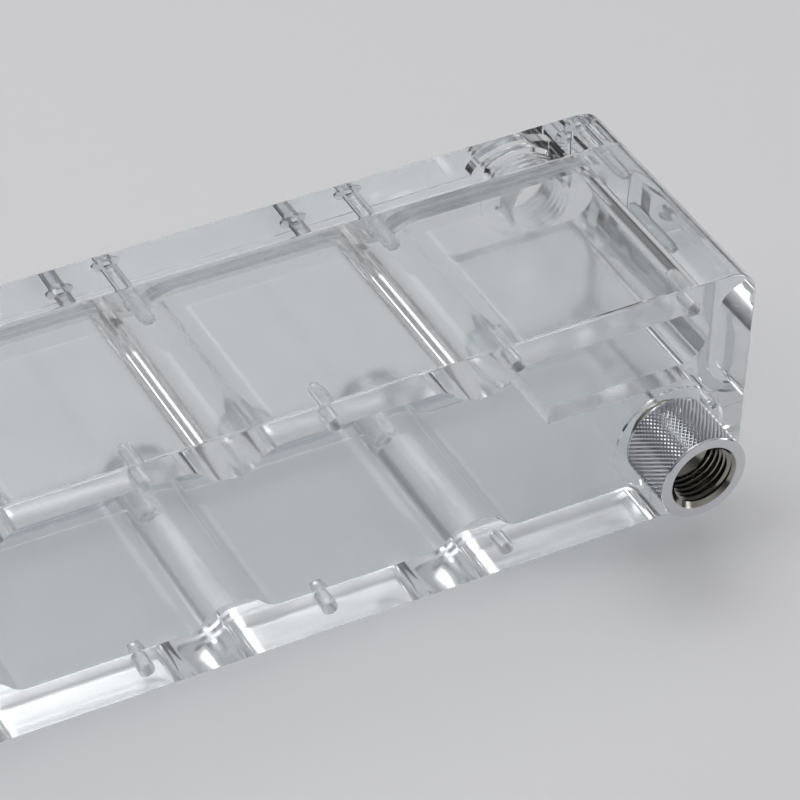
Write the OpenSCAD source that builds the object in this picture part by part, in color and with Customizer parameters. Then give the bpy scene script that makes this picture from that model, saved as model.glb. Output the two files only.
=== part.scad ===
// Clear acrylic coolant reservoir: a milled block with a wavy pocket, a screwed rear cover
// with a cord seal, and a knurled outlet fitting screwed into the front.
// X runs along the block, Y from the front face to the back, Z up.
// The origin is the centre of the block's bottom face.

/* [Block] */
// Length of the block along X
block_length = 212; // [180:1:260]
// Height of the block
block_height = 55; // [53:0.5:64]
// Depth of the milled body, front face to seam
body_depth = 45; // [38:0.5:60]
// Thickness of the rear cover
cover_thick = 11; // [8.5:0.5:14]
// Radius of the block's long edges, seen from the front
corner_r = 6; // [2:0.5:7]
// Chamfer that breaks every outer edge
edge_break = 0.35; // [0.2:0.05:0.5]

/* [Pocket] */
// Thickness of the front wall
front_wall = 5; // [4:0.25:8]
// Thickness of the top and bottom walls between the screw bosses
long_wall = 8.4; // [7.4:0.1:9.4]
// Thickness of the end walls
end_wall = 8; // [7:0.1:10]
// Radius of the round screw bosses that swell into the pocket
boss_r = 7.8; // [7.2:0.1:9]
// Radius that blends a boss into the wall
boss_blend_r = 5; // [3:0.25:7]
// Corner radius of the pocket at its ends
pocket_corner_r = 5.8; // [3:0.1:5.8]

/* [Baffle] */
// Thickness of the baffle between the two end chambers
baffle_thick = 4; // [2.5:0.1:5]
// Height of the upper chamber, over the baffle
upper_chamber_h = 11.8; // [11.7:0.1:13]
// Length of the baffle from the end wall
baffle_length = 33.8; // [24:0.1:35]

/* [Cover screws] */
// Screws along each long side
screw_count = 5; // [3:1:6]
// Distance of a screw from the block's ends
screw_from_end = 6; // [5.5:0.1:7]
// Distance of a screw from the top or bottom face
screw_from_side = 5; // [4.7:0.1:5.6]
// Diameter of a cover screw
screw_d = 3; // [2.5:0.1:3.2]
// Length of a cover screw over its countersunk head
screw_length = 18; // [16:0.5:20]
// Diameter of the countersunk head
screw_head_d = 6; // [5:0.1:6.4]
// Width of the hex socket across its flats
socket_af = 2; // [1.5:0.1:2.2]
// Diameter of the clearance hole through the cover
clearance_hole_d = 3.4; // [3.35:0.05:3.8]
// Room left in front of a screw's tip
screw_tip_room = 1; // [0.5:0.1:2]

/* [Cover seal] */
// Land between the pocket and the seal groove
seal_land = 1.7; // [1.4:0.1:2]
// Width of the seal groove
groove_width = 2.2; // [1.8:0.1:2.4]
// Depth of the seal groove
groove_depth = 1.6; // [1:0.1:2]
// Side clearance of the cord in its groove
cord_clearance = 0.05; // [0.02:0.01:0.1]

/* [Front mounting holes] */
// Tapped holes along each long side of the front
mount_count = 6; // [4:1:6]
// Distance of a tapped hole from the block's ends
mount_from_end = 13.5; // [12:0.5:16]
// Distance of a tapped hole from the top or bottom face
mount_from_side = 5.5; // [4.5:0.1:6]
// Diameter of a tapped hole
mount_hole_d = 3.1; // [2.5:0.1:3.5]
// Depth of a tapped hole's full diameter
mount_hole_depth = 8.6; // [6:0.1:12]

/* [Ports] */
// Distance of the outlet port's axis from the block's end
outlet_from_end = 16.2; // [15:0.1:19]
// Distance of the inlet port's axis from the block's end
inlet_from_end = 20; // [18:0.1:24]
// Diameter of the ports over their thread
port_d = 13.16; // [12.8:0.02:13.3]
// Diameter of the spot face around the outlet port
outlet_face_d = 23.5; // [20:0.1:25]
// Diameter of the spot face around the inlet port
inlet_face_d = 20; // [18:0.1:20.4]
// Depth of both spot faces
spot_face_depth = 1.2; // [0.8:0.1:1.5]

/* [Outlet fitting] */
// Outer diameter of the knurled fitting
fitting_d = 18.1; // [17.4:0.1:19]
// How far the fitting stands out of the front face
fitting_reach = 12.6; // [10:0.1:18]
// Length of its male thread under the shoulder
stem_length = 5; // [4.5:0.1:6]
// Depth of its female thread
socket_depth = 8; // [6:0.1:9]
// Diameter of the way through the stem
through_d = 9; // [6:0.1:9.5]
// Radial running clearance of the male thread
thread_clearance = 0.08; // [0.03:0.01:0.1]
// Section diameter of the fitting's O-ring
o_ring_section = 1.9; // [1.6:0.1:2]

/* [Hidden] */
$fn = 96;
eps = 0.05;
// Overlap that lets tangent arcs cross cleanly
blend_lap = 0.002;
clear_acrylic = [0.86, 0.92, 0.95, 0.35];

front_y = -(body_depth + cover_thick) / 2;
seam_y = front_y + body_depth;
back_y = seam_y + cover_thick;
half_length = block_length / 2;

pocket_x = half_length - end_wall;
ceiling_z = block_height - long_wall;
floor_z = long_wall;
baffle_top = ceiling_z - upper_chamber_h;
baffle_bottom = baffle_top - baffle_thick;
baffle_x = pocket_x - baffle_length;
upper_end_r = upper_chamber_h / 2;
lower_end_r = pocket_corner_r;

screw_pitch = (block_length - 2 * screw_from_end) / (screw_count - 1);
screw_xs = [for (i = [0:screw_count - 1]) -half_length + screw_from_end + i * screw_pitch];
inner_screw_xs = [for (i = [1:screw_count - 2]) screw_xs[i]];
screw_zs = [screw_from_side, block_height - screw_from_side];
screw_hole_depth = screw_length - cover_thick + screw_tip_room;
tapped_d = screw_d + 2 * thread_clearance;
sink_gap = 0.02;
sink_d = screw_head_d + 2 * sink_gap;
drill_half_angle = 59;
point_d = 0.6;

mount_pitch = (block_length - 2 * mount_from_end) / (mount_count - 1);
mount_xs = [for (i = [0:mount_count - 1]) -half_length + mount_from_end + i * mount_pitch];
mount_zs = [mount_from_side, block_height - mount_from_side];

outlet_x = half_length - outlet_from_end;
outlet_z = (baffle_bottom + floor_z) / 2;
inlet_x = half_length - inlet_from_end;
inlet_z = (baffle_top + ceiling_z) / 2;
port_lead = 0.6;

// Heights on the fitting's own axis, counted outward from the spot face
seat_gap = 0.3;
shoulder = seat_gap;
fitting_end = spot_face_depth + fitting_reach;
stem_r = port_d / 2 - thread_clearance;
ring_fit = 0.05;
ring_mid_r = stem_r + ring_fit + o_ring_section / 2;
ring_height = o_ring_section - 0.15;
ring_groove_r = ring_mid_r + o_ring_section / 2 + ring_fit;
fitting_chamfer = 0.45;
mouth_chamfer = 0.4;

// Turns a shape drawn along Z so that it points out of the front face (towards -Y)
module facing_front(x, y, z) {
    translate([x, y, z]) rotate([90, 0, 0]) children();
}

// Turns a shape drawn along Z so that it points out of the back face (towards +Y)
module facing_back(x, y, z) {
    translate([x, y, z]) rotate([-90, 0, 0]) children();
}

// Extrudes a profile drawn in X and Z from one Y to another
module along_y(from_y, to_y) {
    translate([0, to_y, 0]) rotate([90, 0, 0]) linear_extrude(height = to_y - from_y) children();
}

// A plain rectangle with its corners cut off
module broken_rect(w, h, cut) {
    polygon([[cut, 0], [w - cut, 0], [w, cut], [w, h - cut], [w - cut, h], [cut, h], [0, h - cut],
             [0, cut]]);
}

// A plate with the block's outline, round long edges and broken edges front and back
module plate(from_y, to_y) {
    thick = to_y - from_y;
    for (x = [-half_length + corner_r, half_length - corner_r], z = [corner_r, block_height - corner_r])
        facing_back(x, from_y, z)
            rotate_extrude()
                polygon([[0, 0], [corner_r - edge_break, 0], [corner_r, edge_break],
                         [corner_r, thick - edge_break], [corner_r - edge_break, thick], [0, thick]]);
    translate([-half_length + corner_r, from_y, 0]) rotate([90, 0, 90])
        linear_extrude(height = block_length - 2 * corner_r)
            broken_rect(thick, block_height, edge_break);
    translate([-half_length, from_y, corner_r])
        linear_extrude(height = block_height - 2 * corner_r)
            broken_rect(block_length, thick, edge_break);
}

// Everything a boss adds to the wall, with the wall face at height 0 and the screw above it.
// A positive grow moves the whole outline back into the wall.
module boss_profile(grow) {
    rise = long_wall - screw_from_side;
    centre_gap = boss_r + boss_blend_r - blend_lap;
    blend_h = boss_blend_r - blend_lap;
    blend_x = sqrt(pow(centre_gap, 2) - pow(blend_h + rise, 2));
    touch = (boss_r - grow) / centre_gap;
    difference() {
        union() {
            translate([0, rise]) circle(r = boss_r - grow);
            polygon([[-blend_x, grow + eps], [-blend_x, grow],
                     [-blend_x * touch, rise - (blend_h + rise) * touch],
                     [blend_x * touch, rise - (blend_h + rise) * touch],
                     [blend_x, grow], [blend_x, grow + eps]]);
        }
        for (side = [-1, 1])
            translate([side * blend_x, -blend_h]) circle(r = boss_blend_r + grow);
    }
}

// The pocket's outline, moved outward by grow
module pocket_outline(grow) {
    end_x = pocket_x + grow;
    r = pocket_corner_r + grow;
    difference() {
        union() {
            translate([-end_x + r, floor_z - grow]) square([2 * (end_x - r), ceiling_z - floor_z + 2 * grow]);
            translate([-end_x, floor_z - grow + r])
                square([2 * end_x, ceiling_z - floor_z + 2 * grow - 2 * r]);
            for (x = [-end_x + r, end_x - r], z = [floor_z - grow + r, ceiling_z + grow - r])
                translate([x, z]) circle(r = r);
        }
        for (x = inner_screw_xs) {
            translate([x, ceiling_z]) boss_profile(grow);
            translate([x, floor_z]) mirror([0, 1]) boss_profile(grow);
        }
    }
}

// The baffle with the round ends that the cutter leaves beside it
module baffle_outline() {
    translate([baffle_x, baffle_bottom]) square([baffle_length + eps, baffle_thick]);
    difference() {
        translate([pocket_x - upper_end_r, baffle_top - eps]) square([upper_end_r + eps, upper_end_r + eps]);
        translate([pocket_x - upper_end_r, baffle_top + upper_end_r]) circle(r = upper_end_r);
    }
    difference() {
        translate([pocket_x - lower_end_r, baffle_bottom - lower_end_r])
            square([lower_end_r + eps, lower_end_r + eps]);
        translate([pocket_x - lower_end_r, baffle_bottom - lower_end_r]) circle(r = lower_end_r);
    }
}

// The ring between two offsets of the pocket's outline
module seal_outline(inner, outer) {
    difference() {
        pocket_outline(outer);
        pocket_outline(inner);
    }
}

// A drilled blind hole that starts at height 0 and goes down to a blunt drill point
module blind_hole(d, depth) {
    point_h = (d - point_d) / 2 / tan(drill_half_angle);
    translate([0, 0, -depth]) cylinder(d = d, h = depth + eps);
    translate([0, 0, -depth - point_h]) cylinder(d1 = point_d, d2 = d, h = point_h);
}

// A port: spot face, lead-in chamfer and bore, going down from height 0
module port(face_d, depth) {
    translate([0, 0, -spot_face_depth]) cylinder(d = face_d, h = spot_face_depth + eps);
    translate([0, 0, -spot_face_depth - port_lead])
        cylinder(d1 = port_d, d2 = port_d + 2 * port_lead, h = port_lead);
    translate([0, 0, -depth - eps]) cylinder(d = port_d, h = depth + eps);
}

module reservoir_body() {
    color(clear_acrylic)
    difference() {
        plate(front_y, seam_y);
        along_y(front_y + front_wall, seam_y + eps)
            difference() {
                pocket_outline(0);
                baffle_outline();
            }
        along_y(seam_y - groove_depth, seam_y + eps) seal_outline(seal_land, seal_land + groove_width);
        for (x = screw_xs, z = screw_zs) facing_back(x, seam_y, z) blind_hole(tapped_d, screw_hole_depth);
        for (x = mount_xs, z = mount_zs) facing_front(x, front_y, z) blind_hole(mount_hole_d, mount_hole_depth);
        facing_front(outlet_x, front_y, outlet_z) port(outlet_face_d, front_wall);
    }
}

module rear_cover() {
    sink_h = (sink_d - clearance_hole_d) / 2;
    color(clear_acrylic)
    difference() {
        plate(seam_y, back_y);
        for (x = screw_xs, z = screw_zs)
            facing_back(x, back_y, z) {
                translate([0, 0, -cover_thick - eps]) cylinder(d = clearance_hole_d, h = cover_thick + 2 * eps);
                translate([0, 0, -sink_h]) cylinder(d1 = clearance_hole_d, d2 = sink_d, h = sink_h);
                cylinder(d = sink_d, h = eps);
            }
        facing_back(inlet_x, back_y, inlet_z) port(inlet_face_d, cover_thick);
    }
}

// The compressed silicone cord between the groove's floor and the cover
module cover_seal() {
    color([0.93, 0.94, 0.94])
    along_y(seam_y - groove_depth, seam_y)
        seal_outline(seal_land + cord_clearance, seal_land + groove_width - cord_clearance);
}

// A countersunk screw with its head's top at height 0, pointing down
module countersunk_screw() {
    head_h = (screw_head_d - screw_d) / 2;
    tip = screw_d / 6;
    difference() {
        union() {
            translate([0, 0, -head_h]) cylinder(d1 = screw_d, d2 = screw_head_d, h = head_h);
            translate([0, 0, -screw_length + tip]) cylinder(d = screw_d, h = screw_length - tip - head_h);
            translate([0, 0, -screw_length]) cylinder(d1 = screw_d - 2 * tip, d2 = screw_d, h = tip);
        }
        translate([0, 0, -head_h]) cylinder(d = socket_af / cos(30), h = head_h + eps, $fn = 6);
    }
}

module cover_screws() {
    color(clear_acrylic)
    for (x = screw_xs, z = screw_zs) facing_back(x, back_y, z) countersunk_screw();
}

module outlet_fitting() {
    r = fitting_d / 2;
    mouth_r = port_d / 2 + mouth_chamfer;
    color([0.82, 0.83, 0.86])
    facing_front(outlet_x, front_y + spot_face_depth, outlet_z)
        rotate_extrude()
            polygon([
                [through_d / 2, -stem_length], [stem_r - fitting_chamfer, -stem_length],
                [stem_r, fitting_chamfer - stem_length],
                [stem_r, ring_height + ring_fit], [ring_groove_r, ring_height + ring_fit],
                [ring_groove_r, shoulder], [r - fitting_chamfer, shoulder],
                [r, shoulder + fitting_chamfer], [r, fitting_end - fitting_chamfer],
                [r - fitting_chamfer, fitting_end], [mouth_r, fitting_end],
                [port_d / 2, fitting_end - mouth_chamfer], [port_d / 2, fitting_end - socket_depth],
                [through_d / 2, fitting_end - socket_depth - (port_d - through_d) / 2]]);
}

// The O-ring, pressed flat between the spot face and the fitting
module fitting_o_ring() {
    color([0.06, 0.06, 0.07])
    facing_front(outlet_x, front_y + spot_face_depth, outlet_z)
        rotate_extrude()
            intersection() {
                translate([ring_mid_r, ring_height / 2]) circle(d = o_ring_section);
                translate([ring_mid_r - o_ring_section, 0]) square([2 * o_ring_section, ring_height]);
            }
}

reservoir_body();
rear_cover();
cover_seal();
cover_screws();
outlet_fitting();
fitting_o_ring();
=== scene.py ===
"""Clear acrylic coolant reservoir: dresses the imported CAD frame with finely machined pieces.

Lengths are worked out in millimetres and scaled to metres when a piece is finished.
X runs along the block, Y from the front face to the back, Z up.
"""

from math import atan2, ceil, cos, pi, radians, sin, sqrt, tan
from types import SimpleNamespace

import bmesh
import bpy
from mathutils import Euler, Matrix, Vector


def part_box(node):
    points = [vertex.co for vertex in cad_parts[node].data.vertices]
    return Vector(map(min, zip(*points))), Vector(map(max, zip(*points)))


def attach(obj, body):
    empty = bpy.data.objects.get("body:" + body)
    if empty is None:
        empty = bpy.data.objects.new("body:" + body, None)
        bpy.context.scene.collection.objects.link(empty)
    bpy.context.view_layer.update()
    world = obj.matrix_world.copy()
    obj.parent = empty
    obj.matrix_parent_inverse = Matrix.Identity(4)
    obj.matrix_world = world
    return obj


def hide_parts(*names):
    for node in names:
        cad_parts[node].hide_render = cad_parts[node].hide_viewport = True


bl_info = {
    "name": "Clear coolant reservoir",
    "version": (1, 0, 0),
    "blender": (4, 5, 0),
    "location": "View3D > Sidebar > Reservoir",
    "description": "Builds a clear acrylic coolant reservoir around its CAD frame",
    "category": "Object",
}

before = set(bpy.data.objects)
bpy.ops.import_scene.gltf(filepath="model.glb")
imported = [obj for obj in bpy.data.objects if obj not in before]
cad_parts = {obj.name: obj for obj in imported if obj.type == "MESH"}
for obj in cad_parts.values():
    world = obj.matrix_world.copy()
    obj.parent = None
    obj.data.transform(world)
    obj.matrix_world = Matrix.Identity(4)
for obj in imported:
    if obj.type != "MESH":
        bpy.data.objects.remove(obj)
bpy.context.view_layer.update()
BLOCK_LOW, BLOCK_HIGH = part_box("reservoir_body")
COVER_LOW, COVER_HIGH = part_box("rear_cover")

# Fits and clearances, in millimetres
MM = 0.001  # one millimetre in metres
FACE_GAP = 0.01  # air left on each side of a face that another piece rests on
LAP = 0.02  # step between faces that would otherwise lie in one another
PAST = 1.0  # how far a cutter reaches past the face that it opens
SEAL_AIR = 0.08  # air between the seal cord and each wall of its groove
SCREW_AIR = 0.12  # air between a cover screw's thread and its tapped hole
PORT_AIR = 0.08  # air between the stem's thread and the outlet port
THREAD_DEPTH = 0.75  # depth of a port thread
SHOULDER = 0.3  # height of the fitting's shoulder over the spot face
WELD_FINE, WELD, WELD_TURNS = 1e-6, 1e-5, 1e-4  # corners closer than this are merged

# Counts, steps and angles
COVER_SCREWS, FRONT_MOUNTS = 5, 6  # along one long wall
HEX, SMALL, MEDIUM, LARGE, ROUND, FINEST = 6, 32, 48, 64, 96, 128  # steps round a circle
ARC_STEP = radians(2)
SHARP, SHARP_KNURL = radians(24), radians(18)  # edges that turn further than this stay sharp
DRILL_POINT = radians(59)  # half the angle of a drill's point
SPARE_TURNS = 1.5  # turns that a thread has below its lower cut
THREAD_FORM = ((0, 0.12), (1, 0.44), (1, 0.68), (0, 1.0))  # (0 root or 1 crest, share of a turn)
KNURL_DIAMONDS = 60  # round the fitting
DIAMOND_STRETCH = 1.3  # height of a knurl diamond over its width

# Materials
CLEAR_FINISHES = ("clear acrylic", "milled acrylic", "rough-cut acrylic")
POLISHED, MILLED, ROUGH = range(len(CLEAR_FINISHES))
POLYCARBONATE, SILICONE = "clear polycarbonate", "clear silicone"
PLATED_BRASS, BLACK_RUBBER, PALE_FLOOR = "plated brass", "black rubber", "pale floor"
CAD_MATERIALS = {
    "reservoir_body": CLEAR_FINISHES[POLISHED], "rear_cover": CLEAR_FINISHES[POLISHED],
    "cover_seal": SILICONE, "cover_screws": POLYCARBONATE,
    "outlet_fitting": PLATED_BRASS, "fitting_o_ring": BLACK_RUBBER,
}

# Stage, in metres, watts and degrees
FLOOR_HALF, FLOOR_DROP = 4.0, 0.0002
AIM = (0.02, 0.0, 0.03)  # where the softboxes point
SOFTBOXES = (  # name, place, size, power
    ("key_softbox", (-0.75, 0.15, 0.95), (0.7, 0.9), 4.6),
    ("top_softbox", (0.25, 0.65, 1.05), (1.1, 0.5), 4.0),
    ("side_softbox", (1.0, -0.35, 0.65), (0.4, 0.9), 2.6),
)
SKY = ((0.0, (0.06, 0.06, 0.065)), (0.25, (0.13, 0.13, 0.14)),
       (0.6, (0.55, 0.55, 0.56)), (1.0, (0.95, 0.95, 0.95)))  # from the horizon up
SKY_STRENGTH = 0.8
SENSOR_WIDTH, LENS = 36.0, 174.92  # millimetres
CAMERA_PLACE, CAMERA_TURN = (-0.22887, -0.48753, 0.49168), (50.1071, -1.6899, -28.1147)
CLEAR_BOUNCES, GLOSSY_BOUNCES = 32, 12


# ---------------------------------------------------------------- sizes and colours


def length(name, description, default):
    return bpy.props.FloatProperty(
        name=name, description=description, default=default, min=0.0, precision=5,
        subtype="DISTANCE", unit="LENGTH")


def colour(name, description, default):
    return bpy.props.FloatVectorProperty(
        name=name, description=description, default=default, size=3, min=0.0, max=1.0,
        subtype="COLOR")


class ReservoirSizes(bpy.types.PropertyGroup):
    """Sizes of the block, its cover and its holes"""

    block_length: length("Block length", "Length of the block along X", BLOCK_HIGH.x - BLOCK_LOW.x)
    block_height: length("Block height", "Height of the block", BLOCK_HIGH.z - BLOCK_LOW.z)
    body_depth: length("Body depth", "Front face to seam", BLOCK_HIGH.y - BLOCK_LOW.y)
    cover_thick: length("Cover thickness", "Thickness of the rear cover", COVER_HIGH.y - COVER_LOW.y)
    corner_r: length("Corner radius", "Radius of the long edges seen from the front", 0.006)
    edge_break: length("Edge break", "Chamfer on every outer edge", 0.00035)
    front_wall: length("Front wall", "Thickness of the front wall", 0.005)
    long_wall: length("Long wall", "Thickness of the top and bottom walls", 0.0084)
    end_wall: length("End wall", "Thickness of the end walls", 0.008)
    boss_r: length("Boss radius", "Radius of the round screw bosses", 0.0078)
    boss_blend_r: length("Boss blend", "Radius that blends a boss into the wall", 0.005)
    pocket_corner_r: length("Pocket corner", "Corner radius at the pocket's ends", 0.0058)
    baffle_thick: length("Baffle thickness", "Thickness of the baffle", 0.004)
    upper_chamber_h: length("Upper chamber", "Height of the chamber over the baffle", 0.0118)
    baffle_length: length("Baffle length", "Length of the baffle from the end wall", 0.0338)
    seal_land: length("Seal land", "Land between the pocket and the seal groove", 0.0017)
    groove_width: length("Groove width", "Width of the seal groove", 0.0022)
    groove_depth: length("Groove depth", "Depth of the seal groove", 0.0016)
    screw_from_end: length("Screw from end", "Cover screw axis to the block's end", 0.006)
    screw_from_side: length("Screw from side", "Cover screw axis to the top or bottom", 0.005)
    screw_d: length("Screw diameter", "Outer diameter of the screw thread", 0.003)
    screw_length: length("Screw length", "Length over the countersunk head", 0.018)
    screw_head_d: length("Screw head", "Diameter of the countersunk head", 0.006)
    socket_af: length("Hex socket", "Width of the hex socket across flats", 0.002)
    clearance_hole_d: length("Clearance hole", "Hole through the cover", 0.0034)
    mount_from_end: length("Mount from end", "Tapped front hole axis to the end", 0.0135)
    mount_from_side: length("Mount from side", "Tapped front hole axis to top or bottom", 0.0055)
    mount_hole_d: length("Mount hole", "Outer diameter of a tapped front hole", 0.0031)
    mount_hole_depth: length("Mount depth", "Threaded depth of a front hole", 0.0086)
    screw_pitch: length("Screw thread pitch", "Pitch of the screws and front holes", 0.0005)


class PortSizes(bpy.types.PropertyGroup):
    """Sizes of the two ports and of the outlet fitting"""

    outlet_from_end: length("Outlet from end", "Outlet axis to the block's end", 0.0162)
    inlet_from_end: length("Inlet from end", "Inlet axis to the block's end", 0.02)
    port_d: length("Port diameter", "Outer diameter of the port thread", 0.01316)
    outlet_face_d: length("Outlet spot face", "Diameter of the outlet's spot face", 0.0235)
    inlet_face_d: length("Inlet spot face", "Diameter of the inlet's spot face", 0.02)
    spot_face_depth: length("Spot face depth", "Depth of both spot faces", 0.0012)
    port_lead: length("Port lead-in", "Chamfer at a port's mouth", 0.0006)
    port_pitch: length("Port thread pitch", "Pitch of the port threads", 0.001337)
    fitting_d: length("Fitting diameter", "Outer diameter of the knurled fitting", 0.0181)
    fitting_reach: length("Fitting reach", "How far the fitting stands out", 0.0126)
    stem_length: length("Stem length", "Male thread under the shoulder", 0.005)
    socket_depth: length("Socket depth", "Depth of the female thread", 0.008)
    through_d: length("Through bore", "Way through the stem", 0.009)
    o_ring_section: length("O-ring section", "Section diameter of the O-ring", 0.0019)


class ReservoirFinish(bpy.types.PropertyGroup):
    """Colours of the materials"""

    acrylic: colour("Acrylic", "Tint of the clear acrylic", (0.915, 0.928, 0.935))
    polycarbonate: colour("Polycarbonate", "Tint of the clear screws", (0.96, 0.975, 0.985))
    silicone: colour("Silicone", "Colour of the seal cord", (0.86, 0.88, 0.9))
    nickel: colour("Plating", "Colour of the plated fitting", (0.72, 0.73, 0.76))
    # dark brass: the darkness is painted shade inside the fitting's bore
    brass: colour("Brass", "Colour of the thinly plated bore", (0.26, 0.23, 0.17))
    rubber: colour("Rubber", "Colour of the O-ring", (0.018, 0.018, 0.02))
    floor: colour("Floor", "Colour of the studio floor", (0.6, 0.6, 0.61))


def in_mm(group):
    """A group's sizes in millimetres, by name."""
    return {key: getattr(group, key) / MM for key in group.__annotations__}


def dimensions():
    """All sizes in millimetres with the places that follow from them."""
    scene = bpy.context.scene
    s = SimpleNamespace(**in_mm(scene.reservoir_sizes), **in_mm(scene.reservoir_ports))
    s.half = s.block_length / 2
    s.front_y = BLOCK_LOW.y / MM
    s.seam_y = s.front_y + s.body_depth
    s.back_y = s.seam_y + s.cover_thick
    s.pocket_x = s.half - s.end_wall
    s.ceiling_z = s.block_height - s.long_wall
    s.floor_z = s.long_wall
    s.baffle_top = s.ceiling_z - s.upper_chamber_h
    s.baffle_bottom = s.baffle_top - s.baffle_thick
    s.baffle_x = s.pocket_x - s.baffle_length
    s.screw_xs = spread(-s.half + s.screw_from_end, COVER_SCREWS)
    mount_xs = spread(-s.half + s.mount_from_end, FRONT_MOUNTS)
    s.screws = along_walls(s, s.screw_xs, s.screw_from_side)
    s.mounts = along_walls(s, mount_xs, s.mount_from_side)
    s.outlet = (s.half - s.outlet_from_end, (s.baffle_bottom + s.floor_z) / 2)
    s.inlet = (s.half - s.inlet_from_end, (s.baffle_top + s.ceiling_z) / 2)
    return s


def spread(first, count):
    """Evenly spaced places from first to its mirror image."""
    return [first + i * (-2 * first) / (count - 1) for i in range(count)]


def along_walls(s, xs, from_side):
    """The x and z of every hole in a row near the bottom and its twin near the top."""
    return [(x, z) for x in xs for z in (from_side, s.block_height - from_side)]


# ---------------------------------------------------------------- mesh helpers


def corners_of(geom):
    return [g for g in geom if isinstance(g, bmesh.types.BMVert)]


def everything(bm):
    return bm.verts[:] + bm.edges[:] + bm.faces[:]


class Pen:
    """Draws a chain of edges seen from the front: straight runs are extruded, arcs are spun."""

    def __init__(self, start):
        self.bm = bmesh.new()
        self.vert = self.bm.verts.new(start)

    def line(self, point):
        made = bmesh.ops.extrude_vert_indiv(self.bm, verts=[self.vert])
        self.vert = made["verts"][0]
        self.vert.co = point

    def arc(self, centre, angle, step=ARC_STEP):
        steps = max(2, ceil(abs(angle) / step))
        made = bmesh.ops.spin(self.bm, geom=[self.vert], cent=centre, axis=(0, -1, 0),
                              angle=angle, steps=steps, use_duplicate=False)
        self.vert = corners_of(made["geom_last"])[0]

    def face(self):
        """Closes the chain and fills it."""
        bmesh.ops.remove_doubles(self.bm, verts=self.bm.verts, dist=WELD)
        ends = [v for v in self.bm.verts if len(v.link_edges) == 1]
        if ends:
            self.bm.edges.new(ends)
        return bmesh.ops.contextual_create(self.bm, geom=self.bm.edges[:])["faces"]


def pulled(bm, faces, offset):
    """Extrudes flat faces by offset into a solid."""
    made = bmesh.ops.extrude_face_region(bm, geom=faces, use_keep_orig=True)
    bmesh.ops.translate(bm, verts=corners_of(made["geom"]), vec=offset)
    bmesh.ops.recalc_face_normals(bm, faces=bm.faces)
    return bm


def closed(bm):
    """Fills the open ends and turns the faces outward."""
    bmesh.ops.holes_fill(bm, edges=[e for e in bm.edges if e.is_boundary])
    bmesh.ops.recalc_face_normals(bm, faces=bm.faces)
    return bm


def cut_flat(bm, low, high):
    """Cuts a shape off at two heights and closes its ends."""
    for height, normal in ((low, (0, 0, -1)), (high, (0, 0, 1))):
        bmesh.ops.bisect_plane(bm, geom=everything(bm), dist=WELD, plane_co=(0, 0, height),
                               plane_no=normal, clear_outer=True)
    return closed(bm)


def drawn(profile):
    """A chain of edges through (radius, height) pairs."""
    pen = Pen((profile[0][0], 0, profile[0][1]))
    for r, height in profile[1:]:
        pen.line((r, 0, height))
    return pen.bm


def turned(bm, steps=ROUND):
    """Spins a drawn chain about Z into a solid."""
    bmesh.ops.remove_doubles(bm, verts=bm.verts, dist=WELD_FINE)
    bmesh.ops.spin(bm, geom=bm.verts[:] + bm.edges[:], cent=(0, 0, 0), axis=(0, 0, 1),
                   angle=2 * pi, steps=steps, use_merge=True)
    bmesh.ops.remove_doubles(bm, verts=bm.verts, dist=WELD_FINE)
    return closed(bm)


def threaded_rod(crest_r, root_r, pitch, low, high, steps=SMALL):
    """A right-hand thread between two heights, cut flat at both ends."""
    turns = ceil((high - low) / pitch) + 2
    profile = [(root_r, low - SPARE_TURNS * pitch)]
    for turn in range(turns):
        base = low + (turn - SPARE_TURNS) * pitch
        profile += [((root_r, crest_r)[crest], base + share * pitch) for crest, share in THREAD_FORM]
    bm = drawn(profile)
    bmesh.ops.spin(bm, geom=bm.verts[:] + bm.edges[:], cent=(0, 0, 0), axis=(0, 0, 1),
                   dvec=(0, 0, pitch / steps), angle=2 * pi, steps=steps)
    bmesh.ops.remove_doubles(bm, verts=bm.verts, dist=WELD_TURNS)
    return cut_flat(bm, low, high)


def marked(bm, finish, only=None):
    """Gives the faces, or those that only picks, the material slot of a finish."""
    for face in bm.faces:
        if only is None or only(face):
            face.material_index = finish
    return bm


def placed(bm, matrix):
    bmesh.ops.transform(bm, matrix=matrix, verts=bm.verts)
    return bm


def facing_front(x, y, z):
    """Turns Z towards -Y and puts the origin at x, y, z."""
    return Matrix.Translation((x, y, z)) @ Matrix.Rotation(pi / 2, 4, "X")


def facing_back(x, y, z):
    """Turns Z towards +Y and puts the origin at x, y, z."""
    return Matrix.Translation((x, y, z)) @ Matrix.Rotation(-pi / 2, 4, "X")


def joined(parts):
    """Puts several bmeshes into one and uses them up."""
    whole = bmesh.new()
    for bm in parts:
        mesh = bpy.data.meshes.new("part")
        bm.to_mesh(mesh)
        whole.from_mesh(mesh)
        bpy.data.meshes.remove(mesh)
        bm.free()
    return whole


def as_object(bm, name):
    """An object made from a bmesh, which is used up."""
    mesh = bpy.data.meshes.new(name)
    bm.to_mesh(mesh)
    bm.free()
    obj = bpy.data.objects.new(name, mesh)
    bpy.context.scene.collection.objects.link(obj)
    return obj


def combined(bm, tool, operation="DIFFERENCE"):
    """Cuts a bmesh by another or joins the two."""
    target, cutter = as_object(bm, "target"), as_object(tool, "cutter")
    modifier = target.modifiers.new("boolean", "BOOLEAN")
    modifier.operation = operation
    modifier.object = cutter
    modifier.solver = "MANIFOLD"
    modifier.material_mode = "INDEX"
    result = bmesh.new()
    result.from_object(target, bpy.context.evaluated_depsgraph_get())
    for obj in (target, cutter):
        mesh = obj.data
        bpy.data.objects.remove(obj)
        bpy.data.meshes.remove(mesh)
    if not result.faces:
        raise RuntimeError("a boolean left nothing")
    return result


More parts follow.
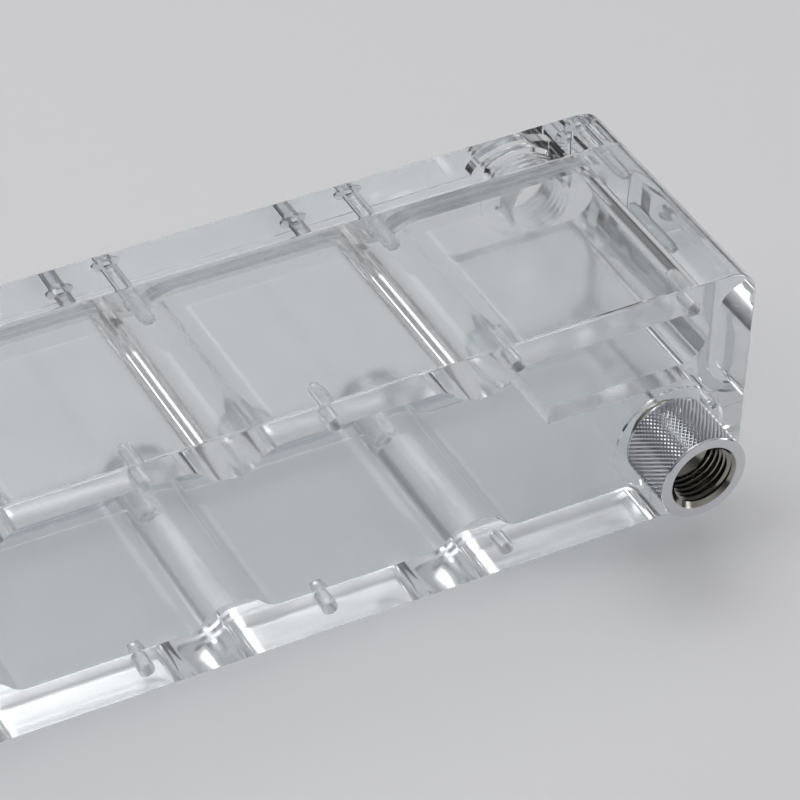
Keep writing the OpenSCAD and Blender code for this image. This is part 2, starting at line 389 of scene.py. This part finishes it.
def finished(bm, name, materials, body, node, sharp=SHARP):
    """Scales a bmesh to metres, shades it and puts it on its body in place of a CAD node."""
    if any(not e.is_manifold for e in bm.edges):
        raise RuntimeError(f"{name} has open edges")
    bmesh.ops.scale(bm, vec=(MM, MM, MM), verts=bm.verts)
    obj = as_object(bm, name)
    obj.data.shade_smooth()
    obj.data.set_sharp_from_angle(angle=sharp)
    modifier = obj.modifiers.new("even shading", "WEIGHTED_NORMAL")
    modifier.keep_sharp = True
    for made in materials:
        obj.data.materials.append(bpy.data.materials[made])
    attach(obj, body)
    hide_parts(node)


# ---------------------------------------------------------------- shader helpers


class Sock:
    """A shader socket that can be used in Python expressions."""

    def __init__(self, graph, socket):
        self.graph, self.socket = graph, socket

    def _math(self, operation, *values):
        return self.graph.node("ShaderNodeMath", {"operation": operation}, dict(enumerate(values)))

    def __add__(self, other):
        return self._math("ADD", self, other)

    def __sub__(self, other):
        return self._math("SUBTRACT", self, other)

    def __rsub__(self, other):
        return self._math("SUBTRACT", other, self)

    def __mul__(self, other):
        return self._math("MULTIPLY", self, other)

    __radd__, __rmul__ = __add__, __mul__


class Graph:
    """The node tree of one material or world."""

    def __init__(self, owner):
        owner.use_nodes = True
        self.tree = owner.node_tree
        self.tree.nodes.clear()

    def node(self, kind, settings=None, inputs=None, output=0):
        """Adds a node, with its settings first and then its sockets' values or links."""
        made = self.tree.nodes.new(kind)
        for key, value in (settings or {}).items():
            if key == "stops":
                ramp = made.color_ramp.elements
                while len(ramp) < len(value):
                    ramp.new(1.0)
                for element, (place, tone) in zip(ramp, value):
                    element.position, element.color = place, (*tone, 1.0)
            else:
                setattr(made, key, value)
        for key, value in (inputs or {}).items():
            socket = made.inputs[key]
            if isinstance(value, Sock):
                self.tree.links.new(value.socket, socket)
            elif isinstance(value, tuple) and len(value) == 3 and len(socket.default_value) == 4:
                socket.default_value = (*value, 1.0)
            else:
                socket.default_value = value
        return Sock(self, made.outputs[output])

    def place(self, scale=(1, 1, 1), offset=(0, 0, 0)):
        at = self.node("ShaderNodeTexCoord", output="Object")
        return self.node("ShaderNodeMapping", {},
                         {"Vector": at, "Scale": scale, "Location": offset})

    def span(self, value, low, high, at_low, at_high):
        """Goes from at_low to at_high while value goes from low to high."""
        return self.node("ShaderNodeMapRange", {},
                         {"Value": value, 1: low, 2: high, 3: at_low, 4: at_high})

    def noise(self, scale, detail, stretch=(1, 1, 1)):
        return self.node("ShaderNodeTexNoise", {},
                         {"Vector": self.place(stretch), "Scale": scale, "Detail": detail})

    def blend(self, factor, a, b):
        return self.node("ShaderNodeMix", {"data_type": "RGBA"}, {0: factor, 6: a, 7: b}, output=2)

    def bump(self, height, distance):
        """Raises a surface by up to distance, which is in metres."""
        return self.node("ShaderNodeBump", {},
                         {"Height": height, "Distance": distance, "Strength": 1.0})

    def out(self, shader, kind="ShaderNodeOutputMaterial"):
        made = self.tree.nodes.new(kind)
        self.tree.links.new(shader.socket, made.inputs["Surface"])


def material(name):
    """The node graph of a new material."""
    return Graph(bpy.data.materials.new(name))


def shade(tint, share):
    """A tint with each channel at a share of its strength."""
    return tuple(c * share for c in tint)


def plastic(g, inputs, shadow):
    """Clear plastic that lets the lamps' light through to what is behind it."""
    body = g.node("ShaderNodeBsdfPrincipled", {}, {"Transmission Weight": 1.0, **inputs})
    through = g.node("ShaderNodeBsdfTransparent", {}, {"Color": shadow})
    lamp_ray = g.node("ShaderNodeLightPath", output="Is Shadow Ray")
    return g.node("ShaderNodeMixShader", {}, {0: lamp_ray, 1: body, 2: through})


# ---------------------------------------------------------------- materials


def acrylic():
    """Polished outside, with the cutter's fine marks on the milled walls and a haze on threads."""
    tint = tuple(bpy.context.scene.reservoir_finish.acrylic)
    along_cutter, mark_height = (1.0, 0.06, 1.0), 0.000008
    for finish, rough, uneven in ((POLISHED, 0.0, 0.012), (MILLED, 0.055, 0.13),
                                  (ROUGH, 0.16, 0.12)):
        g = material(CLEAR_FINISHES[finish])
        haze = g.noise(90.0, 3.0)
        inputs = {"Base Color": g.blend(haze, tint, shade(tint, 0.985)),
                  "Roughness": haze * uneven + rough, "IOR": 1.49}
        if finish == MILLED:
            inputs["Normal"] = g.bump(g.noise(700.0, 2.0, along_cutter), mark_height)
        g.out(plastic(g, inputs, shade(tint, 0.98)))


def polycarbonate():
    g = material(POLYCARBONATE)
    tint = tuple(bpy.context.scene.reservoir_finish.polycarbonate)
    deeper = shade(tint, 0.95)
    swirl = g.noise(400.0, 2.0)
    g.out(plastic(g, {"Base Color": g.blend(swirl, tint, deeper),
                      "Roughness": swirl * 0.04 + 0.02, "IOR": 1.58}, deeper))


def silicone():
    g = material(SILICONE)
    tint = tuple(bpy.context.scene.reservoir_finish.silicone)
    deeper = shade(tint, 0.9)
    cloud = g.noise(500.0, 3.0)
    g.out(plastic(g, {"Base Color": g.blend(cloud, tint, deeper),
                      "Roughness": cloud * 0.1 + 0.12, "IOR": 1.41}, deeper))


def plating():
    """Bright nickel, with painted shade darkening the knurl's valleys and painted shade in the bore,
    where the colour turns to a dark warm brass.
    """
    g = material(PLATED_BRASS)
    finish, s = bpy.context.scene.reservoir_finish, dimensions()
    grain, spots = g.noise(1500.0, 3.0), g.noise(300.0, 4.0)
    bright = tuple(finish.nickel)
    axis = Vector((s.outlet[0], 0, s.outlet[1])) * MM
    away = g.node("ShaderNodeVectorMath", {"operation": "MULTIPLY"},
                  {0: g.place(offset=-axis), 1: (1.0, 0.0, 1.0)})
    radius = g.node("ShaderNodeVectorMath", {"operation": "LENGTH"}, {0: away}, output=1)
    depth = g.node("ShaderNodeSeparateXYZ", {}, {"Vector": g.place()}, output=1)
    crest_r, bore_r = s.fitting_d / 2, s.port_d / 2 + 0.2
    mouth_y = s.front_y - s.fitting_reach
    # painted shade: behind the end face, the knurl's valleys are darkened toward a fifth of the
    # plating's brightness
    valley_shade = g.span(radius, (crest_r - 0.45) * MM, (crest_r - 0.1) * MM, 1.0, 0.0)
    behind_rim = g.span(depth, (mouth_y + 0.3) * MM, (mouth_y + 0.6) * MM, 0.0, 1.0)
    outside = g.span(radius, bore_r * MM, (bore_r + 0.3) * MM, 0.0, 1.0)
    tone = g.blend(spots, bright, shade(bright, 0.88))
    tone = g.blend(valley_shade * behind_rim * outside * 0.6, tone, shade(bright, 0.2))
    # painted shade: inside the bore, the plating turns to the dark brass colour
    tone = g.blend((1 - outside) * 0.75, tone, tuple(finish.brass))
    g.out(g.node("ShaderNodeBsdfPrincipled", {},
                 {"Base Color": tone, "Metallic": 1.0, "Roughness": grain * 0.12 + 0.1,
                  "Normal": g.bump(grain, 0.000006)}))


def rubber():
    g = material(BLACK_RUBBER)
    tint = tuple(bpy.context.scene.reservoir_finish.rubber)
    dusty = tuple(c + 0.015 for c in tint)
    dust = g.noise(900.0, 4.0)
    g.out(g.node("ShaderNodeBsdfPrincipled", {},
                 {"Base Color": g.blend(dust, tint, dusty), "Roughness": dust * 0.2 + 0.4}))


def studio_floor():
    g = material(PALE_FLOOR)
    tint = tuple(bpy.context.scene.reservoir_finish.floor)
    cloud = g.noise(6.0, 3.0)
    g.out(g.node("ShaderNodeBsdfPrincipled", {},
                 {"Base Color": g.blend(cloud, tint, shade(tint, 0.985)),
                  "Roughness": cloud * 0.1 + 0.5}))


class RESERVOIR_OT_materials(bpy.types.Operator):
    """Make the materials of all pieces"""

    bl_idname = "reservoir.materials"
    bl_label = "Materials"

    def execute(self, context):
        for make in (acrylic, polycarbonate, silicone, plating, rubber, studio_floor):
            make()
        for node, name in CAD_MATERIALS.items():
            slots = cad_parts[node].data.materials
            slots.clear()
            slots.append(bpy.data.materials[name])
        return {"FINISHED"}


# ---------------------------------------------------------------- block and cover


def plate(s, from_y, to_y):
    """The block's outline between two depths, with round long edges and broken edges."""
    right, top, r = s.half, s.block_height, s.corner_r
    pen = Pen((right - r, from_y, 0))
    pen.arc((right - r, from_y, r), pi / 2)
    pen.line((right, from_y, top - r))
    pen.arc((right - r, from_y, top - r), pi / 2)
    pen.line((r - right, from_y, top))
    pen.arc((r - right, from_y, top - r), pi / 2)
    pen.line((-right, from_y, r))
    pen.arc((r - right, from_y, r), pi / 2)
    bm = pulled(pen.bm, pen.face(), (0, to_y - from_y, 0))
    rims = [e for e in bm.edges if abs(e.verts[0].co.y - e.verts[1].co.y) < WELD_FINE]
    bmesh.ops.bevel(bm, geom=rims, offset=s.edge_break, offset_type="OFFSET", segments=2,
                    profile=0.5, affect="EDGES", material=-1, clamp_overlap=True)
    return bm


def wavy_run(pen, s, y, xs, wall_z, side, grow):
    """One long wall of the pocket, with a boss at each inner screw.

    The bottom wall has side 1 and runs to the right, the top wall has side -1 and runs back.
    """
    rise = s.long_wall - s.screw_from_side
    gap = s.boss_r + s.boss_blend_r
    reach = sqrt(gap * gap - (s.boss_blend_r + rise) ** 2)
    swing = atan2(reach, s.boss_blend_r + rise)
    blend_z = wall_z + side * s.boss_blend_r
    for x in xs:
        near, far = x - side * reach, x + side * reach
        pen.line((near, y, wall_z - side * grow))
        pen.arc((near, y, blend_z), swing)
        pen.arc((x, y, wall_z - side * rise), -2 * swing)
        pen.arc((far, y, blend_z), swing)


def pocket_outline(s, y, grow, with_baffle):
    """A pen that has drawn the pocket's outline at depth y, moved outward by grow."""
    end_x, low, high = s.pocket_x + grow, s.floor_z - grow, s.ceiling_z + grow
    r, inner = s.pocket_corner_r + grow, s.screw_xs[1:-1]
    pen = Pen((-end_x + r, y, low))
    wavy_run(pen, s, y, inner, s.floor_z, 1, grow)
    pen.line((end_x - r, y, low))
    pen.arc((end_x - r, y, low + r), pi / 2)
    if with_baffle:
        lower_r, upper_r = s.pocket_corner_r, s.upper_chamber_h / 2
        pen.line((end_x, y, s.baffle_bottom - lower_r))
        pen.arc((end_x - lower_r, y, s.baffle_bottom - lower_r), pi / 2)
        pen.line((s.baffle_x, y, s.baffle_bottom))
        pen.line((s.baffle_x, y, s.baffle_top))
        pen.line((end_x - upper_r, y, s.baffle_top))
        pen.arc((end_x - upper_r, y, s.baffle_top + upper_r), pi / 2)
    pen.line((end_x, y, high - r))
    pen.arc((end_x - r, y, high - r), pi / 2)
    wavy_run(pen, s, y, inner[::-1], s.ceiling_z, -1, grow)
    pen.line((-end_x + r, y, high))
    pen.arc((-end_x + r, y, high - r), pi / 2)
    pen.line((-end_x, y, low + r))
    pen.arc((-end_x + r, y, low + r), pi / 2)
    return pen


def pocket_solid(s, from_y, to_y, grow=0.0, with_baffle=False):
    """What the cutter takes out of the pocket, with milled side walls."""
    pen = pocket_outline(s, from_y, grow, with_baffle)
    solid = pulled(pen.bm, pen.face(), (0, to_y - from_y, 0))
    return marked(solid, MILLED, lambda face: abs(face.normal.y) < 0.5)


def cord_ring(s, from_y, to_y, inner, outer):
    """A band round the pocket, between two distances from its outline."""
    return combined(pocket_solid(s, from_y, to_y, outer),
                    pocket_solid(s, from_y - PAST, to_y + PAST, inner))


def tapped_hole(crest_r, pitch, depth, plain):
    """A cutter for a blind hole that starts at height 0, tapped to depth and drilled on."""
    above, thread_above = 0.2, 0.3
    root_r = crest_r - 0.5 * pitch
    drill_r, bottom = root_r - LAP, -depth - plain
    drill = turned(drawn([(0, above), (drill_r, above), (drill_r, bottom),
                          (0, bottom - drill_r / tan(DRILL_POINT))]), SMALL)
    thread = threaded_rod(crest_r, root_r, pitch, -depth, thread_above)
    return marked(combined(thread, drill, "UNION"), ROUGH)


def port_cutter(s, face_d, depth):
    """Spot face, lead-in and threaded bore going down from height 0."""
    r, spot, under = s.port_d / 2, s.spot_face_depth, 0.3
    lead_end = -spot - s.port_lead - under
    mouth = turned(drawn([(0, PAST), (face_d / 2, PAST), (face_d / 2, -spot),
                          (r + s.port_lead, -spot), (r - under, lead_end), (0, lead_end)]))
    thread = threaded_rod(r, r - THREAD_DEPTH, s.port_pitch, -depth - PAST, -spot + 0.2, LARGE)
    return combined(mouth, marked(thread, ROUGH), "UNION")


class RESERVOIR_OT_body(bpy.types.Operator):
    """Build the milled body with its pocket, holes and outlet port"""

    bl_idname = "reservoir.body"
    bl_label = "Reservoir body"

    def execute(self, context):
        s = dimensions()
        seam = s.seam_y - FACE_GAP
        pocket = pocket_solid(s, s.front_y + s.front_wall, seam + PAST, with_baffle=True)
        groove = cord_ring(s, seam - s.groove_depth, seam + PAST, s.seal_land,
                           s.seal_land + s.groove_width)
        cutters = [pocket, groove]
        depth, plain = s.screw_length - s.cover_thick, 0.9
        for x, z in s.screws:
            hole = tapped_hole(s.screw_d / 2 + SCREW_AIR, s.screw_pitch, depth, plain)
            cutters.append(placed(hole, facing_back(x, seam, z)))
        depth, plain = s.mount_hole_depth - 1, 1
        for x, z in s.mounts:
            hole = tapped_hole(s.mount_hole_d / 2, s.screw_pitch, depth, plain)
            cutters.append(placed(hole, facing_front(x, s.front_y, z)))
        body = combined(plate(s, s.front_y, seam), joined(cutters))
        port = placed(port_cutter(s, s.outlet_face_d, s.front_wall),
                      facing_front(s.outlet[0], s.front_y, s.outlet[1]))
        finished(combined(body, port), "clear_body", CLEAR_FINISHES, "reservoir",
                 "reservoir_body")
        return {"FINISHED"}


class RESERVOIR_OT_cover(bpy.types.Operator):
    """Build the rear cover with its countersunk holes and inlet port"""

    bl_idname = "reservoir.cover"
    bl_label = "Rear cover"

    def execute(self, context):
        s = dimensions()
        hole_r, sink_r = s.clearance_hole_d / 2, s.screw_head_d / 2 + LAP
        through = -s.cover_thick - PAST
        cutters = []
        for x, z in s.screws:
            hole = turned(drawn([(0, PAST), (sink_r, PAST), (sink_r, 0), (hole_r, hole_r - sink_r),
                                 (hole_r, through), (0, through)]), MEDIUM)
            cutters.append(placed(hole, facing_back(x, s.back_y, z)))
        cutters.append(placed(port_cutter(s, s.inlet_face_d, s.cover_thick),
                              facing_back(s.inlet[0], s.back_y, s.inlet[1])))
        cover = combined(plate(s, s.seam_y + FACE_GAP, s.back_y), joined(cutters))
        finished(cover, "clear_cover", CLEAR_FINISHES, "reservoir",
                 "rear_cover")
        return {"FINISHED"}


# ---------------------------------------------------------------- seal and screws


class RESERVOIR_OT_seal(bpy.types.Operator):
    """Build the seal cord that lies in the groove"""

    bl_idname = "reservoir.seal"
    bl_label = "Cover seal"

    def execute(self, context):
        s = dimensions()
        cord = cord_ring(s, s.seam_y - s.groove_depth + LAP, s.seam_y - LAP,
                         s.seal_land + SEAL_AIR, s.seal_land + s.groove_width - SEAL_AIR)
        finished(cord, "seal_cord", (SILICONE,), "reservoir", "cover_seal")
        return {"FINISHED"}


def cover_screw(s):
    """One countersunk screw with a hex socket, its head just under height 0."""
    r, tip, shank = s.screw_d / 2, -s.screw_length, s.cover_thick - 1
    root_r, tip_r, rim_r = r - 0.3, 0.9, s.screw_head_d / 2 - 0.03
    core_r, sink = root_r - LAP, s.screw_head_d / 2 - r
    thread = threaded_rod(r - 0.03, root_r, s.screw_pitch, tip + 0.4, -shank)
    core = turned(drawn([(0, -LAP), (rim_r, -LAP), (rim_r, -0.08), (r, -sink - 0.05),
                         (r, -shank - 0.2), (core_r, -shank - 0.6), (core_r, tip + 0.5),
                         (tip_r, tip), (0, tip)]), SMALL)
    socket_r, socket_bottom, socket_point = s.socket_af / 2 / cos(pi / 6), -1.3, -1.7
    socket = turned(drawn([(0, PAST), (socket_r, PAST), (socket_r, socket_bottom),
                           (0, socket_point)]), HEX)
    return combined(combined(core, thread, "UNION"), socket)


class RESERVOIR_OT_screws(bpy.types.Operator):
    """Build the ten countersunk cover screws"""

    bl_idname = "reservoir.screws"
    bl_label = "Cover screws"

    def execute(self, context):
        s = dimensions()
        screws = [placed(cover_screw(s), facing_back(x, s.back_y, z)) for x, z in s.screws]
        finished(joined(screws), "clear_screws", (POLYCARBONATE,), "reservoir",
                 "cover_screws")
        return {"FINISHED"}


# ---------------------------------------------------------------- outlet fitting


def knurled_sleeve(crest_r, root_r, low, high):
    """A tube of raised diamonds from one spun and repeated diamond."""
    width = 2 * pi * crest_r / KNURL_DIAMONDS
    rows = round((high - low) / (width * DIAMOND_STRETCH))
    tall, turn, trim = (high - low) / rows, 2 * pi / KNURL_DIAMONDS, 0.013
    bm = bmesh.new()
    centre = bm.verts.new((crest_r, 0, 0))
    corners = []
    for angle, height in ((0, -tall / 2), (turn / 2, 0), (0, tall / 2), (-turn / 2, 0)):
        corners.append(bm.verts.new((root_r * cos(angle), root_r * sin(angle), height)))
    for a, b in zip(corners, corners[1:] + corners[:1]):
        bm.faces.new((centre, a, b))
    bmesh.ops.spin(bm, geom=bm.faces[:], cent=(0, 0, 0), axis=(0, 0, 1), angle=2 * pi,
                   steps=KNURL_DIAMONDS, use_duplicate=True, use_merge=False)
    between = corners_of(bmesh.ops.duplicate(bm, geom=everything(bm))["geom"])
    bmesh.ops.rotate(bm, verts=between, cent=(0, 0, 0), matrix=Matrix.Rotation(turn / 2, 3, "Z"))
    bmesh.ops.translate(bm, verts=between, vec=(0, 0, tall / 2))
    band = everything(bm)
    for row in range(-1, rows + 1):
        copy = corners_of(bmesh.ops.duplicate(bm, geom=band)["geom"])
        bmesh.ops.translate(bm, verts=copy, vec=(0, 0, low + row * tall))
    bmesh.ops.delete(bm, geom=band, context="FACES")
    loose = [v for v in bm.verts if not v.link_faces]
    bmesh.ops.delete(bm, geom=loose, context="VERTS")
    bmesh.ops.remove_doubles(bm, verts=bm.verts, dist=WELD_TURNS)
    return cut_flat(bm, low + trim, high - trim)


def inner_cutter(r, low, high):
    return turned(drawn([(0, high), (r, high), (r, low), (0, low)]), LARGE)


def fitting_core(s, stem_r, socket_r, end):
    """The turned fitting without its threads and knurl, with the spot face at height 0."""
    r, through_r, tip = s.fitting_d / 2, s.through_d / 2, -s.stem_length
    tip_r, root_r, neck_r = stem_r - 1.1, stem_r - 0.85, stem_r - 0.3
    groove_r, groove_top = stem_r + s.o_ring_section + 0.1, s.o_ring_section - 0.1
    collar_r, knurl_r, mouth_r = r - 0.2, r - 0.42, s.port_d / 2 + 0.4
    socket_floor = end - s.socket_depth
    stem = [(through_r, tip + 0.3), (through_r + 0.3, tip), (tip_r, tip), (root_r, tip + 0.3),
            (root_r, 0.2), (neck_r, 0.9), (neck_r, groove_top)]
    shoulder = [(groove_r, groove_top), (groove_r, SHOULDER + 0.1), (groove_r + 0.1, SHOULDER),
                (r - 0.45, SHOULDER), (collar_r, SHOULDER + 0.15), (collar_r, SHOULDER + 0.45)]
    grip = [(knurl_r, SHOULDER + 0.65), (knurl_r, end - 0.6), (r, end - 0.42), (r, end - 0.2),
            (collar_r, end), (mouth_r, end)]
    socket = [(socket_r, end - 1.2), (socket_r, socket_floor), (through_r, socket_floor - 0.9),
              (through_r, tip + 0.3)]
    return turned(drawn(stem + shoulder + grip + socket), FINEST)


def fitting_stem(s, stem_r):
    """The stem's outer thread as a tube."""
    rod = threaded_rod(stem_r, stem_r - 0.8, s.port_pitch, -s.stem_length + 0.3, 0.5, LARGE)
    return combined(rod, inner_cutter(s.through_d / 2 + 0.5, -9, 9))


class RESERVOIR_OT_fitting(bpy.types.Operator):
    """Build the knurled outlet fitting with its threads"""

    bl_idname = "reservoir.fitting"
    bl_label = "Outlet fitting"

    def execute(self, context):
        s = dimensions()
        r, end = s.fitting_d / 2, s.spot_face_depth + s.fitting_reach
        stem_r, bore_r = s.port_d / 2 - PORT_AIR, s.port_d / 2 - THREAD_DEPTH
        knurl = combined(knurled_sleeve(r - LAP, r - 0.5, SHOULDER + 0.5, end - 0.5),
                         inner_cutter(r - 1.5, -9, 30))
        metal = combined(fitting_core(s, stem_r, bore_r - 0.05, end), fitting_stem(s, stem_r), "UNION")
        metal = combined(metal, knurl, "UNION")
        metal = combined(metal, threaded_rod(s.port_d / 2, bore_r, s.port_pitch,
                                             end - s.socket_depth + 0.3, end + PAST, LARGE))
        placed(metal, facing_front(s.outlet[0], s.front_y + s.spot_face_depth, s.outlet[1]))
        finished(metal, "knurled_fitting", (PLATED_BRASS,), "fitting",
                 "outlet_fitting", SHARP_KNURL)
        return {"FINISHED"}


class RESERVOIR_OT_o_ring(bpy.types.Operator):
    """Build the O-ring under the fitting's shoulder"""

    bl_idname = "reservoir.o_ring"
    bl_label = "Fitting O-ring"

    def execute(self, context):
        s = dimensions()
        section_r, squeezed, step = s.o_ring_section / 2, 0.915, radians(10)
        middle = s.port_d / 2 - 0.03 + section_r
        height = section_r * squeezed + 0.005
        pen = Pen((middle + section_r, 0, 0))
        pen.arc((middle, 0, 0), 2 * pi - step, step)
        bmesh.ops.scale(pen.bm, vec=(1, 1, squeezed), verts=pen.bm.verts)
        bmesh.ops.translate(pen.bm, verts=pen.bm.verts, vec=(0, 0, height))
        pen.line((middle + section_r, 0, height))
        ring = placed(turned(pen.bm),
                      facing_front(s.outlet[0], s.front_y + s.spot_face_depth, s.outlet[1]))
        finished(ring, "rubber_ring", (BLACK_RUBBER,), "fitting_seal",
                 "fitting_o_ring")
        return {"FINISHED"}


# ---------------------------------------------------------------- stage


def lay_floor():
    bm = bmesh.new()
    bmesh.ops.create_grid(bm, x_segments=2, y_segments=2, size=FLOOR_HALF)
    floor = as_object(bm, "studio_floor")
    floor.location.z = -FLOOR_DROP
    floor.data.materials.append(bpy.data.materials[PALE_FLOOR])


def light_sky(scene):
    """A soft sky that is dim at the horizon and bright overhead."""
    world = bpy.data.worlds.new("studio")
    scene.world = world
    g = Graph(world)
    up = g.node("ShaderNodeSeparateXYZ", {},
                {"Vector": g.node("ShaderNodeTexCoord", output="Generated")}, output=2)
    sky = g.node("ShaderNodeValToRGB", {"stops": SKY}, {"Fac": up})
    g.out(g.node("ShaderNodeBackground", {}, {"Color": sky, "Strength": SKY_STRENGTH}),
          "ShaderNodeOutputWorld")


def hang_softbox(scene, name, place, size, power):
    data = bpy.data.lights.new(name, "AREA")
    data.shape, data.size, data.size_y = "RECTANGLE", size[0], size[1]
    data.energy = power
    obj = bpy.data.objects.new(name, data)
    scene.collection.objects.link(obj)
    obj.location = place
    obj.rotation_euler = (Vector(AIM) - Vector(place)).to_track_quat("-Z", "Y").to_euler()


def place_camera(scene):
    data = bpy.data.cameras.new("camera")
    data.sensor_width, data.lens = SENSOR_WIDTH, LENS
    data.clip_start, data.clip_end = 0.01, 20.0
    camera = bpy.data.objects.new("camera", data)
    scene.collection.objects.link(camera)
    camera.location = CAMERA_PLACE
    camera.rotation_euler = Euler([radians(a) for a in CAMERA_TURN], "XYZ")
    scene.camera = camera


class RESERVOIR_OT_stage(bpy.types.Operator):
    """Make the floor, the lamps, the world and the camera"""

    bl_idname = "reservoir.stage"
    bl_label = "Stage"

    def execute(self, context):
        scene = context.scene
        lay_floor()
        light_sky(scene)
        for softbox in SOFTBOXES:
            hang_softbox(scene, *softbox)
        place_camera(scene)
        scene.view_settings.view_transform = "Standard"
        scene.cycles.max_bounces = CLEAR_BOUNCES
        scene.cycles.transmission_bounces = CLEAR_BOUNCES
        scene.cycles.transparent_max_bounces = CLEAR_BOUNCES
        scene.cycles.glossy_bounces = GLOSSY_BOUNCES
        return {"FINISHED"}


# ---------------------------------------------------------------- add-on


class RESERVOIR_PT_sidebar(bpy.types.Panel):
    """Lists the reservoir's sizes, colours and build steps"""

    bl_label = "Reservoir"
    bl_idname = "RESERVOIR_PT_sidebar"
    bl_space_type = "VIEW_3D"
    bl_region_type = "UI"
    bl_category = "Reservoir"

    def draw(self, context):
        for group in ("reservoir_sizes", "reservoir_ports", "reservoir_finish"):
            box = self.layout.box()
            props = getattr(context.scene, group)
            for key in props.__annotations__:
                box.prop(props, key)
        for operator in OPERATORS:
            self.layout.operator(operator.bl_idname)


GROUPS = {"reservoir_sizes": ReservoirSizes, "reservoir_ports": PortSizes,
          "reservoir_finish": ReservoirFinish}
OPERATORS = (RESERVOIR_OT_materials, RESERVOIR_OT_body, RESERVOIR_OT_cover, RESERVOIR_OT_seal,
             RESERVOIR_OT_screws, RESERVOIR_OT_fitting, RESERVOIR_OT_o_ring, RESERVOIR_OT_stage)


def register():
    for cls in (*GROUPS.values(), *OPERATORS, RESERVOIR_PT_sidebar):
        bpy.utils.register_class(cls)
    for name, cls in GROUPS.items():
        setattr(bpy.types.Scene, name, bpy.props.PointerProperty(type=cls))


def unregister():
    for name in GROUPS:
        delattr(bpy.types.Scene, name)
    for cls in (RESERVOIR_PT_sidebar, *reversed(OPERATORS), *reversed(GROUPS.values())):
        bpy.utils.unregister_class(cls)


def main():
    register()
    for operator in OPERATORS:
        group, _, name = operator.bl_idname.partition(".")
        getattr(getattr(bpy.ops, group), name)()


if __name__ == "__main__":
    main()
